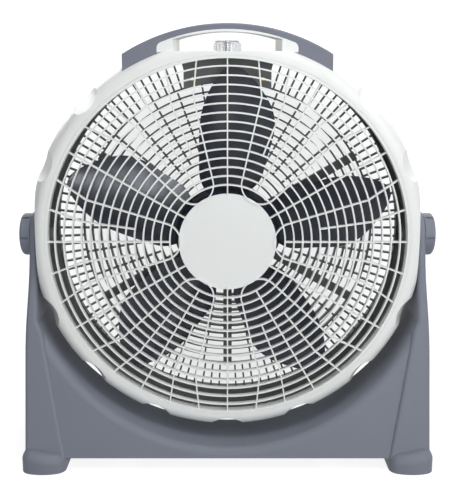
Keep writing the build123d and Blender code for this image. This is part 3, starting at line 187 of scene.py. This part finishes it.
# Enamel on the motor's covers: smooth and nearly black, near enough to a moulded skin for its recipe
motor_paint = moulded("black_motor_enamel", "#2a2a2c", "#232325", 1.0, 0.03, roughness=0.4, sheen_level=0.4)
plastics = (white_abs, grey_pp, dark_abs, painted_light_abs, navy_pp, black_rubber, motor_paint)
print("plastics and enamel", [material.name for material in plastics])

# %% [markdown]
# The blades are polished in their mould, but the hub between them is left matt, so it stays dark behind
# the grille's loops where a glossy wall would mirror the room. A second material on the hub's faces would
# do it too, but the blades and the hub are one moulding and one CAD node, so the distance from the axle
# tells them apart.

# %% Matt hub of the blades
HUB_EDGE, HUB_FADE = 0.078, 0.004
MATT = 0.9
spin = next(joint for joint in frame["joints"] if joint["name"] == "rotor_spin")
axle_height = spin["pos_m"][2]
tree = navy_pp.node_tree
shader = tree.nodes["Principled BSDF"]
place = next(n for n in tree.nodes if n.type == "TEX_COORD").outputs["Object"]
across_axle = node(
    tree, "ShaderNodeMapping", {"Vector": place, "Location": (0, 0, -axle_height), "Scale": (1, 0, 1)}
)
from_axle = node(tree, "ShaderNodeVectorMath", {0: across_axle.outputs["Vector"]}, operation="LENGTH")
hub_matt = node(
    tree,
    "ShaderNodeMapRange",
    {
        "Value": from_axle.outputs["Value"],
        "From Min": HUB_EDGE - HUB_FADE,
        "From Max": HUB_EDGE,
        "To Min": MATT,
        "To Max": 0.0,
    },
)
blade_gloss = shader.inputs["Roughness"].links[0].from_socket
dullest = node(tree, "ShaderNodeMath", {0: blade_gloss, 1: hub_matt.outputs["Result"]}, operation="MAXIMUM")
tree.links.new(dullest.outputs["Value"], shader.inputs["Roughness"])
print("matt within", HUB_EDGE, "m of the axle, which is", axle_height, "m up")

# %% [markdown]
# The speed knob is clear polystyrene. It could be a pale plastic with a bright sheen, but one sees the
# top of the drum through the real one, so the shader lets most of the light pass. A faint grey haze keeps
# it from looking like cut glass.

# %% Clear knob
HAZE_MM = 6
POLYSTYRENE_IOR = 1.59
CLEAR_SHARE = 0.8
CLEAREST, HAZIEST = 0.06, 0.16
clear_ps, tree, shader, place = new_material("clear_polystyrene")
haze = node(tree, "ShaderNodeTexNoise", {"Vector": place, "Scale": per_metre(HAZE_MM), "Detail": 2.0})
veil = node(
    tree, "ShaderNodeMapRange", {"Value": haze.outputs["Fac"], "To Min": CLEAREST, "To Max": HAZIEST}
)
body_tint = node(
    tree,
    "ShaderNodeMix",
    {"Factor": haze.outputs["Fac"], "A": linear("#f4f4f4"), "B": linear("#e6e8ea")},
    data_type="RGBA",
)
tree.links.new(veil.outputs["Result"], shader.inputs["Roughness"])
tree.links.new(body_tint.outputs["Result"], shader.inputs["Base Color"])
shader.inputs["IOR"].default_value = POLYSTYRENE_IOR
shader.inputs["Transmission Weight"].default_value = CLEAR_SHARE
print("clear", clear_ps.name)

# %% [markdown]
# Metals show in screws, pivots and the motor. Each has fine marks from how it was made, and a slight
# change of colour. In wound wire and stacked sheets the marks are short along the axle, because the turns
# and the sheets lie side by side there, so the noise is squeezed that way. A metal keeps the shader's own
# IOR.

# %% Metals
RUBBED_BRIGHT, TARNISHED = 0.08, 0.1


def metal(name, bright, dull, mark_mm, roughness, squeeze=(1, 1, 1)):
    """A metal with marks about mark_mm long, from bright to dull in colour and from smooth to rough."""
    material, tree, shader, place = new_material(name)
    along = node(tree, "ShaderNodeMapping", {"Vector": place, "Scale": squeeze})
    marks = node(
        tree,
        "ShaderNodeTexNoise",
        {"Vector": along.outputs["Vector"], "Scale": per_metre(mark_mm), "Detail": 5.0},
    )
    tint = node(
        tree,
        "ShaderNodeMix",
        {"Factor": marks.outputs["Fac"], "A": linear(bright), "B": linear(dull)},
        data_type="RGBA",
    )
    gloss = node(
        tree,
        "ShaderNodeMapRange",
        {
            "Value": marks.outputs["Fac"],
            "To Min": roughness - RUBBED_BRIGHT,
            "To Max": roughness + TARNISHED,
        },
    )
    tree.links.new(tint.outputs["Result"], shader.inputs["Base Color"])
    tree.links.new(gloss.outputs["Result"], shader.inputs["Roughness"])
    shader.inputs["Metallic"].default_value = 1.0
    return material


# Zinc on steel screws and bolts: pale, with a soft shine
zinc_steel = metal("zinc_plated_steel", "#c4c6c9", "#a9abaf", mark_mm=1.5, roughness=0.34)
# A thin coat of brass on the screws of the control box: warm and bright
brass_plate = metal("brass_plated_steel", "#cfae6a", "#b08f4c", mark_mm=1.2, roughness=0.3)
# Pressed and sintered bronze powder in the bearings and bushes: dull, from its pores
bronze = metal("sintered_bronze", "#a87f4f", "#8b683f", mark_mm=0.7, roughness=0.5)
# Varnished copper wire, turn beside turn
copper = metal(
    "varnished_copper_wire", "#b06a44", "#8c4e30", mark_mm=0.8, roughness=0.36, squeeze=(1, 6, 1)
)
# Stamped sheets of electrical steel, sheet beside sheet
lamination = metal(
    "electrical_steel_laminations", "#8b8d90", "#6d6f73", mark_mm=0.6, roughness=0.42, squeeze=(1, 8, 1)
)
print("metals", [material.name for material in (zinc_steel, brass_plate, bronze, copper, lamination)])

# %% [markdown]
# Each CAD node takes the finish of the slot that the record gives it. Only the drum's wall and the control box
# differ: they are the same dark plastic as the parts beside them, but with painted light, a lighter colour that
# stands in for the light that falls on them.

# %% Dress the CAD nodes
finishes = {
    "white_plastic": white_abs,
    "grey_plastic": grey_pp,
    "dark_plastic": dark_abs,
    "navy_plastic": navy_pp,
    "clear_plastic": clear_ps,
    "motor_shell": motor_paint,
    "core_steel": lamination,
    "copper_wire": copper,
    "bearing_bronze": bronze,
    "brass_screws": brass_plate,
    "steel": zinc_steel,
    "rubber": black_rubber,
}
# Painted light: these two nodes take a lighter copy of the dark plastic in place of the light on them
PAINTED_LIGHTER_NODES = ("drum_housing", "control_box")
slot_of = {row["node"]: row["material_slot"] for row in frame["record"]["subparts"]}
for name, part in nodes.items():
    part.data.materials.clear()
    part.data.materials.append(painted_light_abs if name in PAINTED_LIGHTER_NODES else finishes[slot_of[name]])
print("dressed", len(nodes))

# %% [markdown]
# New pieces are shaped as by hand, in edit mode: something is selected, and an operator acts on it. With
# no window open, the selecting is done in code, by where a vertex, edge or face lies or which way it
# looks.

# %% Helpers for shaping
MM = 0.001


def start_editing(kind):
    """Sets edit mode to vertices, edges or faces, with nothing selected yet."""
    bpy.ops.object.mode_set(mode="EDIT")
    bpy.ops.mesh.select_mode(type=kind)
    bpy.ops.mesh.select_all(action="DESELECT")
    bpy.ops.object.mode_set(mode="OBJECT")


def pick(elements, test):
    """Selects the vertices, edges or faces for which test is true, and opens edit mode."""
    for element in elements:
        element.select = test(element)
    bpy.ops.object.mode_set(mode="EDIT")


def both_ends(piece, test):
    """A test for an edge of the piece, true where both of its ends pass the given test."""
    return lambda edge: all(test(piece.data.vertices[v].co) for v in edge.vertices)


def finish_piece(piece, material, body, replaced):
    """Places the finish, hangs the piece on the empty of its body and hides the CAD node that it stands for."""
    piece.data.materials.clear()
    piece.data.materials.append(material)
    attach(piece, body)
    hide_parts(replaced)


print("selected before shaping", len(bpy.context.selected_objects))

# %% [markdown]
# The speed knob is a thick clear moulding with a rounded crown and finger flutes. Its flutes could be a
# bump in the material, but the light that it bends comes from its real shape, so it is modelled: a
# cylinder with a bevelled top edge, one in four of its side faces pushed in, and a shallow dish in its
# crown.

# %% Body of the speed knob
KNOB_FLUTES = 20
KNOB_SIDES = 4 * KNOB_FLUTES
CROWN_ROUND = 5 * MM
low, high = (Vector(corner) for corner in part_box("speed_knob"))
knob_middle = (low + high) / 2
knob_radius = (high.x - low.x) / 2
bpy.ops.object.select_all(action="DESELECT")
bpy.ops.mesh.primitive_cylinder_add(
    vertices=KNOB_SIDES, radius=knob_radius, depth=high.z - low.z, location=knob_middle
)
knob = bpy.context.object
knob.name = "ribbed_speed_knob"
bpy.ops.object.transform_apply(location=True, rotation=True, scale=True)
just_below_top = high.z - 0.1 * MM
start_editing("EDGE")
pick(knob.data.edges, both_ends(knob, lambda end: end.z > just_below_top))
bpy.ops.mesh.bevel(offset=CROWN_ROUND, segments=5, profile=0.5)
bpy.ops.object.mode_set(mode="OBJECT")
print("knob faces after the bevel", len(knob.data.polygons))

# %% Flutes and dished crown of the knob
FLUTE_MARGIN, FLUTE_DEPTH = 0.3 * MM, 1.1 * MM
DISH_RIM, DISH_DEPTH, DISH_STEP = 3 * MM, 0.9 * MM, 1 * MM


def fluted(face):
    """One of every four side faces."""
    if abs(face.normal.z) > 0.1:
        return False
    turn = math.atan2(face.center.y - knob_middle.y, face.center.x - knob_middle.x)
    return int(turn / math.tau * KNOB_SIDES + KNOB_SIDES) % 4 == 0


start_editing("FACE")
pick(knob.data.polygons, fluted)
bpy.ops.mesh.inset(thickness=FLUTE_MARGIN, depth=-FLUTE_DEPTH, use_individual=True)
bpy.ops.object.mode_set(mode="OBJECT")
start_editing("FACE")
pick(knob.data.polygons, lambda face: face.normal.z > 0.99 and face.center.z > just_below_top)
bpy.ops.mesh.inset(thickness=DISH_RIM)
bpy.ops.mesh.extrude_region_move(TRANSFORM_OT_translate={"value": (0, 0, -DISH_DEPTH)})
bpy.ops.mesh.inset(thickness=DISH_STEP)
bpy.ops.object.mode_set(mode="OBJECT")
bpy.ops.object.shade_smooth_by_angle(angle=math.radians(40))
finish_piece(knob, clear_ps, "speed_control", "speed_knob")
print("knob faces", len(knob.data.polygons), "radius", round(knob_radius, 4))

# %% [markdown]
# Pan-head screws hold the drum together. On the real fan each has a domed head with a cross recess, and a
# plain disc would give that away in a close view. The cross could be inset by hand, but a boolean cuts
# its square walls in one go. One screw is modelled that way, and then copied to every seat of the CAD
# screws.

# %% Head and shank of one screw
HEAD_RADIUS, HEAD_HEIGHT, HEAD_ROUND = 3.6 * MM, 2.2 * MM, 1.5 * MM
SHANK_RADIUS, SHANK_LENGTH = 1.8 * MM, 6 * MM
TIP_SHARE = 0.3
bpy.ops.object.select_all(action="DESELECT")
bpy.ops.mesh.primitive_cylinder_add(
    vertices=32, radius=HEAD_RADIUS, depth=HEAD_HEIGHT, location=(0, 0, HEAD_HEIGHT / 2)
)
screw = bpy.context.object
screw.name = "pan_head_screw"
bpy.ops.object.transform_apply(location=True, rotation=True, scale=True)
start_editing("EDGE")
pick(screw.data.edges, both_ends(screw, lambda end: end.z > HEAD_HEIGHT * 0.9))
bpy.ops.mesh.bevel(offset=HEAD_ROUND, segments=5, profile=0.5)
bpy.ops.object.mode_set(mode="OBJECT")
start_editing("FACE")
pick(screw.data.polygons, lambda face: face.normal.z < -0.9)
bpy.ops.mesh.inset(thickness=HEAD_RADIUS - SHANK_RADIUS)
bpy.ops.mesh.extrude_region_move(TRANSFORM_OT_translate={"value": (0, 0, -SHANK_LENGTH)})
bpy.ops.mesh.extrude_region_move(TRANSFORM_OT_translate={"value": (0, 0, -SHANK_RADIUS)})
bpy.ops.transform.resize(value=(TIP_SHARE, TIP_SHARE, 1))
bpy.ops.object.mode_set(mode="OBJECT")
print("screw faces before the cross", len(screw.data.polygons))

# %% Cross recess of the screw
# The cutter is centred on the top of the head, so the recess is half as deep as the cutter is high
CROSS_LENGTH, CROSS_WIDTH, CUTTER_HEIGHT = 4.4 * MM, 0.9 * MM, 2.6 * MM
for quarter in (0, 1):
    bpy.ops.object.select_all(action="DESELECT")
    bpy.ops.mesh.primitive_cube_add(size=1, location=(0, 0, HEAD_HEIGHT))
    cutter = bpy.context.object
    cutter.scale = (CROSS_LENGTH, CROSS_WIDTH, CUTTER_HEIGHT)
    cutter.rotation_euler = (0, 0, quarter * math.pi / 2)
    bpy.ops.object.transform_apply(location=True, rotation=True, scale=True)
    bpy.ops.object.select_all(action="DESELECT")
    screw.select_set(True)
    bpy.context.view_layer.objects.active = screw
    cut = screw.modifiers.new("cross_recess", "BOOLEAN")
    cut.object = cutter
    cut.solver = "EXACT"
    bpy.ops.object.modifier_apply(modifier=cut.name)
    bpy.data.objects.remove(cutter, do_unlink=True)
bpy.ops.object.shade_smooth_by_angle(angle=math.radians(35))
print("screw faces", len(screw.data.polygons))

# %% [markdown]
# The seats could be typed in, but then they would stay behind if the CAD screws moved. They are read from
# the CAD nodes instead: vertices that lie close together, seen along the screw, belong to one screw, and
# the highest of them is the top of its head. Each copy is turned a little further, because no two screws
# stop at the same angle.

# %% Copy the screw to its seats
ONE_SCREW = 3 * HEAD_RADIUS
TURN_STEP = 2.4


def seats(name, way):
    """The seat of each screw in a CAD node, below a head that faces the given way."""
    groups = []
    for vertex in nodes[name].data.vertices:
        height = vertex.co.dot(way)
        flat = vertex.co - way * height
        group = next((g for g in groups if (g["flats"][0] - flat).length < ONE_SCREW), None)
        if group is None:
            group = {"flats": [], "heights": []}
            groups.append(group)
        group["flats"].append(flat)
        group["heights"].append(height)
    found = []
    for group in groups:
        least = Vector([min(axis) for axis in zip(*group["flats"])])
        most = Vector([max(axis) for axis in zip(*group["flats"])])
        found.append((least + most) / 2 + way * (max(group["heights"]) - HEAD_HEIGHT))
    return found


def set_screws(name, body, way, material):
    """Copies the screw to every seat of a CAD node and joins the copies to one piece."""
    copies = []
    upright = Vector(way).to_track_quat("Z", "Y").to_matrix().to_4x4()
    for number, seat in enumerate(seats(name, Vector(way))):
        mesh = screw.data.copy()
        driven = Matrix.Rotation(number * TURN_STEP, 4, "Z")
        mesh.transform(Matrix.Translation(seat) @ upright @ driven)
        copy = bpy.data.objects.new(name + "_cross", mesh)
        bpy.context.scene.collection.objects.link(copy)
        copies.append(copy)
    bpy.ops.object.select_all(action="DESELECT")
    for copy in copies:
        copy.select_set(True)
    bpy.context.view_layer.objects.active = copies[0]
    bpy.ops.object.join()
    finish_piece(copies[0], material, body, name)
    print(name, len(copies))


TO_FRONT, TO_BACK, DOWN = (0, -1, 0), (0, 1, 0), (0, 0, -1)
set_screws("control_box_screws", "drum", TO_FRONT, brass_plate)
for name in ("rear_grille_screws", "bezel_screws", "motor_screws"):
    set_screws(name, "drum", TO_BACK, zinc_steel)
set_screws("foot_screws", "stand", DOWN, zinc_steel)
bpy.data.objects.remove(screw, do_unlink=True)

# %% [markdown]
# The studio is a sheet of white paper that runs along the floor and curves up into a wall behind the fan.
# A flat floor and a far wall would show a line between them, which the cove takes away. It is a plane
# whose far edge is extruded up and whose fold is bevelled round.

# %% Paper sweep
FLOOR_SIDE, WALL_Y, WALL_HEIGHT, COVE_RADIUS = 12, 2.6, 6, 0.8
NEAR = 0.01
bpy.ops.object.select_all(action="DESELECT")
bpy.ops.mesh.primitive_plane_add(size=FLOOR_SIDE, location=(0, WALL_Y - FLOOR_SIDE / 2, 0))
floor = bpy.context.object
floor.name = "studio_sweep"
bpy.ops.object.transform_apply(location=True, rotation=True, scale=True)
start_editing("EDGE")
pick(floor.data.edges, both_ends(floor, lambda end: end.y > WALL_Y - NEAR))
bpy.ops.mesh.extrude_region_move(TRANSFORM_OT_translate={"value": (0, 0, WALL_HEIGHT)})
bpy.ops.object.mode_set(mode="OBJECT")
start_editing("EDGE")
pick(floor.data.edges, both_ends(floor, lambda end: end.y > WALL_Y - NEAR and end.z < NEAR))
bpy.ops.mesh.bevel(offset=COVE_RADIUS, segments=16, profile=0.5)
bpy.ops.object.mode_set(mode="OBJECT")
bpy.ops.object.shade_smooth()
print("sweep faces", len(floor.data.polygons))

# %% [markdown]
# What shows through the grille in the photograph is not paper white but a pale grey: the fan's own soft
# shade on the sweep behind it. One strong lamp in front could throw it, but that would change the light on
# the fan too, so the shade is painted on the paper. Its place is worked out from the point on the paper:
# further back the shade lies lower and is wider, and it fades out at its edge.

# %% Where the shade lies
# Height of the shade's middle at the fan, its fall per metre, and how far back it is twice as wide
SHADE_HEIGHT, SHADE_FALL, SHADE_SPREAD = 0.33, 0.2, 1.19
LEAST_SPREAD = 0.05
paper, tree, shader, place = new_material("studio_paper")
spot = node(tree, "ShaderNodeSeparateXYZ", {"Vector": place})
growth = node(
    tree, "ShaderNodeMath", {0: spot.outputs["Y"], 1: 1 / SHADE_SPREAD, 2: 1.0}, operation="MULTIPLY_ADD"
)
spread = node(tree, "ShaderNodeMath", {0: growth.outputs["Value"], 1: LEAST_SPREAD}, operation="MAXIMUM")
fallen = node(
    tree,
    "ShaderNodeMath",
    {0: spot.outputs["Y"], 1: SHADE_FALL, 2: spot.outputs["Z"]},
    operation="MULTIPLY_ADD",
)
above = node(tree, "ShaderNodeMath", {0: fallen.outputs["Value"], 1: SHADE_HEIGHT}, operation="SUBTRACT")
from_middle = node(tree, "ShaderNodeCombineXYZ", {"X": spot.outputs["X"], "Y": above.outputs["Value"]})
off_axis = node(tree, "ShaderNodeVectorMath", {0: from_middle.outputs["Vector"]}, operation="LENGTH")
share_out = node(
    tree, "ShaderNodeMath", {0: off_axis.outputs["Value"], 1: spread.outputs["Value"]}, operation="DIVIDE"
)
print("shade", SHADE_HEIGHT, "m up at the fan, twice as wide", SHADE_SPREAD, "m behind it")

# %% How brightly the paper glows
# The shade is full within the first radius and gone at the second, both as they are at the fan
FULL_SHADE, NO_SHADE, SHADE_LEVEL = 0.2, 0.285, 0.66
# Near the fan the glow leaves room for the lamps' light, so that the shadow under the feet shows
GLOW_NEAR, GLOW_FAR, GLOW_LEVEL = 0.6, 2.4, 0.84
distance = node(tree, "ShaderNodeVectorMath", {0: place}, operation="LENGTH")
white_out = node(
    tree,
    "ShaderNodeMapRange",
    {
        "Value": distance.outputs["Value"],
        "From Min": GLOW_NEAR,
        "From Max": GLOW_FAR,
        "To Min": GLOW_LEVEL,
        "To Max": 1.0,
    },
)
soft_shade = node(
    tree,
    "ShaderNodeMapRange",
    {
        "Value": share_out.outputs["Value"],
        "From Min": FULL_SHADE,
        "From Max": NO_SHADE,
        "To Min": SHADE_LEVEL,
        "To Max": 1.0,
    },
)
strength = node(
    tree,
    "ShaderNodeMath",
    {0: white_out.outputs["Result"], 1: soft_shade.outputs["Result"]},
    operation="MULTIPLY",
)
print("glow", GLOW_LEVEL, "near the fan, times", SHADE_LEVEL, "in the shade")

# %% [markdown]
# Brighter lamps would make the paper white, but they would bleach the fan too. So the paper glows only for
# rays that come from the camera, from a reflection or through clear plastic, and to all other light it is
# grey paper. The lamps' light is added to the glow, so the shadow under the feet still shows.

# %% Paper that glows where it is seen


def background_seen(tree):
    """One for rays from the camera, a reflection or clear plastic, and zero for other light."""
    rays = node(tree, "ShaderNodeLightPath")
    straight = node(
        tree,
        "ShaderNodeMath",
        {0: rays.outputs["Is Camera Ray"], 1: rays.outputs["Is Glossy Ray"]},
        operation="MAXIMUM",
    )
    through = node(
        tree,
        "ShaderNodeMath",
        {0: straight.outputs["Value"], 1: rays.outputs["Is Transmission Ray"]},
        operation="MAXIMUM",
    )
    return through.outputs["Value"]


PAPER_ROUGHNESS = 0.9
shader.inputs["Base Color"].default_value = linear("#c4c4c4")
shader.inputs["Roughness"].default_value = PAPER_ROUGHNESS
glow = node(tree, "ShaderNodeEmission", {"Color": linear("#ffffff"), "Strength": strength.outputs["Value"]})
lit_paper = node(tree, "ShaderNodeBsdfDiffuse", {"Color": linear("#a0a0a0")})
backlit = node(tree, "ShaderNodeAddShader", {0: glow.outputs["Emission"], 1: lit_paper.outputs["BSDF"]})
seen_or_not = node(
    tree,
    "ShaderNodeMixShader",
    {0: background_seen(tree), 1: shader.outputs["BSDF"], 2: backlit.outputs["Shader"]},
)
tree.links.new(seen_or_not.outputs["Shader"], tree.nodes["Material Output"].inputs["Surface"])
floor.data.materials.append(paper)
print("paper on", floor.name)

# %% [markdown]
# The world is white where it is seen and dim where it lights the fan, for the same reason as the paper.
# The shape of the fan comes from soft square lamps instead. One strong lamp would model it too, but its
# pale bezel would clip to white on that side, so several weaker ones share the work.

# %% World
LIGHTING_LEVEL, SEEN_LEVEL = 0.14, 1.0
world = bpy.data.worlds.new("studio")
bpy.context.scene.world = world
world.use_nodes = True
tree = world.node_tree
sky = tree.nodes["Background"]
level = node(
    tree,
    "ShaderNodeMapRange",
    {"Value": background_seen(tree), "To Min": LIGHTING_LEVEL, "To Max": SEEN_LEVEL},
)
sky.inputs["Color"].default_value = linear("#ffffff")
tree.links.new(level.outputs["Result"], sky.inputs["Strength"])
bpy.context.scene.view_settings.view_transform = "Standard"
print("world", world.name)

# %% Lamps
NEUTRAL, DAYLIGHT = (1, 1, 1), (0.88, 0.94, 1.0)


def soft_lamp(name, spot, aim_height, size, power, colour=NEUTRAL):
    """A square area lamp at spot that looks at the fan's middle line, aim_height above the floor."""
    data = bpy.data.lights.new(name, "AREA")
    data.size = size
    data.energy = power
    data.color = colour
    lamp = bpy.data.objects.new(name, data)
    bpy.context.scene.collection.objects.link(lamp)
    lamp.location = spot
    aim = Vector((0, 0, aim_height)) - Vector(spot)
    lamp.rotation_euler = aim.to_track_quat("-Z", "Y").to_euler()


# From above and from the right, as in the photograph
soft_lamp("key", (1.6, -1.2, 1.3), 0.3, size=0.8, power=8)
soft_lamp("side", (1.9, -0.4, 0.8), 0.3, size=0.8, power=2)
soft_lamp("top", (0.15, -0.6, 1.9), 0.4, size=0.7, power=11)
soft_lamp("overhead", (0, 0.1, 2.0), 0.4, size=0.8, power=4)
# From the front: the blades mirror the first two as bright streaks
soft_lamp("front", (0.2, -2.0, 0.64), 0.35, size=0.5, power=9, colour=DAYLIGHT)
soft_lamp("fill", (-1.65, -2.0, 0.5), 0.3, size=0.6, power=2)
soft_lamp("front_right", (1.2, -2.2, 0.9), 0.3, size=1.0, power=11.5)
# From behind, for the back of the drum
soft_lamp("back_left", (-1.1, 1.7, 1.2), 0.3, size=0.8, power=9)
soft_lamp("back_right", (1.1, 1.7, 1.3), 0.3, size=0.8, power=9)
